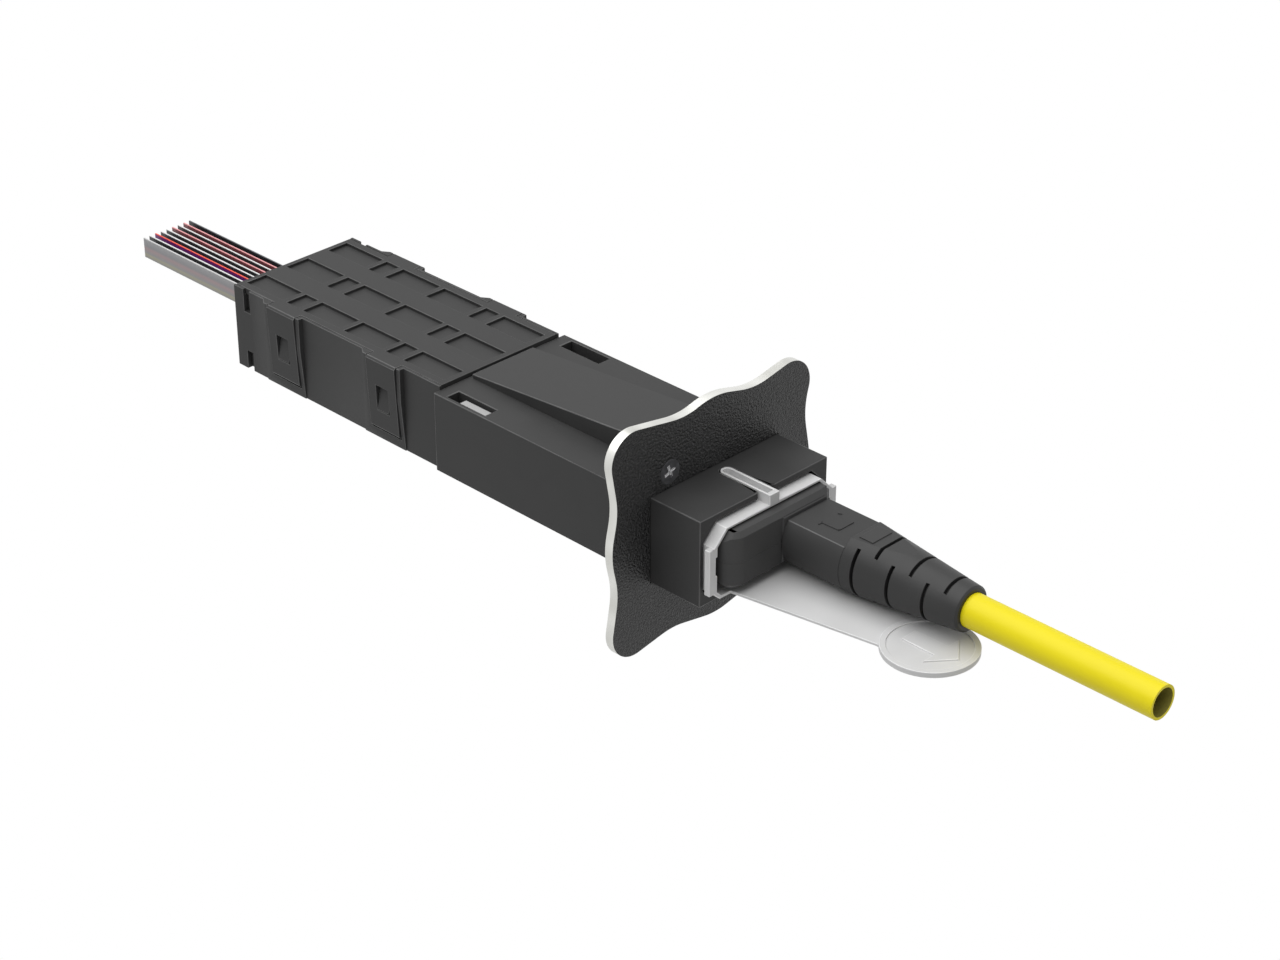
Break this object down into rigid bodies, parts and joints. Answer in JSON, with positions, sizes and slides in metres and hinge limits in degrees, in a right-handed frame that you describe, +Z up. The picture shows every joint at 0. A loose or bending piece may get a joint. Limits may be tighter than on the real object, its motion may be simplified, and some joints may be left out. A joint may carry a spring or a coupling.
{
  "type": "expanded beam fibre connector",
  "caption": "Panel-mounted expanded beam fibre connector: rear case with fibre ribbons, receptacle, and a mated cable plug with a sliding release collar.",
  "frame": {"origin": "on the mating axis, in the plane of the panel's front face, at the middle of the panel cut-out", "axes": "+X along the mating axis, out of the panel towards the cable; +Z up, on the side of the nose's key slot; +Y across the connector"},
  "size_m": [0.2333, 0.047, 0.0419],
  "materials": {
    "black_plastic": "fine matt moulded",
    "grey_plastic": "satin moulded",
    "black_rubber": "satin moulded",
    "panel_paint": "black wrinkle powder coat",
    "screw_steel": "blackened",
    "spring_steel": "bright",
    "brass": "turned",
    "aluminium": "satin",
    "ferrule_polymer": "polished",
    "yellow_jacket": "satin",
    "ribbon_white": "satin",
    "ribbon_red": "satin",
    "ribbon_pink": "satin",
    "ribbon_grey": "satin"
  },
  "bodies": {
    "receptacle": {"panel_section": "panel_paint", "receptacle_housing": "black_plastic", "panel_screws": "screw_steel", "threaded_inserts": "brass", "latch_spring_near": "grey_plastic", "latch_spring_far": "grey_plastic", "backshell_base": "black_plastic", "backshell_cover": "black_plastic", "ribbon_grommet": "black_rubber", "receptacle_ferrule_carrier": "black_plastic", "receptacle_ferrule_retainer": "grey_plastic", "ribbon_1": "ribbon_white", "ribbon_2": "ribbon_white", "ribbon_3": "ribbon_red", "ribbon_4": "ribbon_white", "ribbon_5": "ribbon_white", "ribbon_6": "ribbon_pink", "ribbon_7": "ribbon_white", "ribbon_8": "ribbon_pink", "ribbon_9": "ribbon_grey", "receptacle_ferrule_1": "ferrule_polymer", "receptacle_ferrule_2": "ferrule_polymer", "receptacle_ferrule_3": "ferrule_polymer", "receptacle_ferrule_4": "ferrule_polymer", "receptacle_ferrule_5": "ferrule_polymer", "receptacle_ferrule_6": "ferrule_polymer", "receptacle_ferrule_7": "ferrule_polymer", "receptacle_ferrule_8": "ferrule_polymer", "receptacle_ferrule_9": "ferrule_polymer"},
    "plug": {"plug_shell_upper": "black_plastic", "plug_shell_lower": "black_plastic", "plug_ferrule_carrier": "black_plastic", "plug_ferrule_retainer": "grey_plastic", "collar_spring_near": "spring_steel", "collar_spring_far": "spring_steel", "cable_neck": "black_plastic", "crimp_body": "brass", "crimp_ring": "aluminium", "strain_relief_boot": "black_rubber", "cable_jacket": "yellow_jacket", "plug_ferrule_1": "ferrule_polymer", "plug_ferrule_2": "ferrule_polymer", "plug_ferrule_3": "ferrule_polymer", "plug_ferrule_4": "ferrule_polymer", "plug_ferrule_5": "ferrule_polymer", "plug_ferrule_6": "ferrule_polymer", "plug_ferrule_7": "ferrule_polymer", "plug_ferrule_8": "ferrule_polymer", "plug_ferrule_9": "ferrule_polymer"},
    "collar": {"pull_collar": "grey_plastic"}
  },
  "joints": [
    {"name": "plug_withdraw", "type": "slide", "parent": "receptacle", "child": "plug", "axis": [1, 0, 0], "range_m": [0, 0.036]},
    {"name": "collar_slide", "type": "slide", "parent": "plug", "child": "collar", "axis": [1, 0, 0], "range_m": [0, 0.0025], "stiffness_N_per_m": 600, "springref_m": -0.001, "deforming": ["collar_spring_near", "collar_spring_far"]}
  ]
}
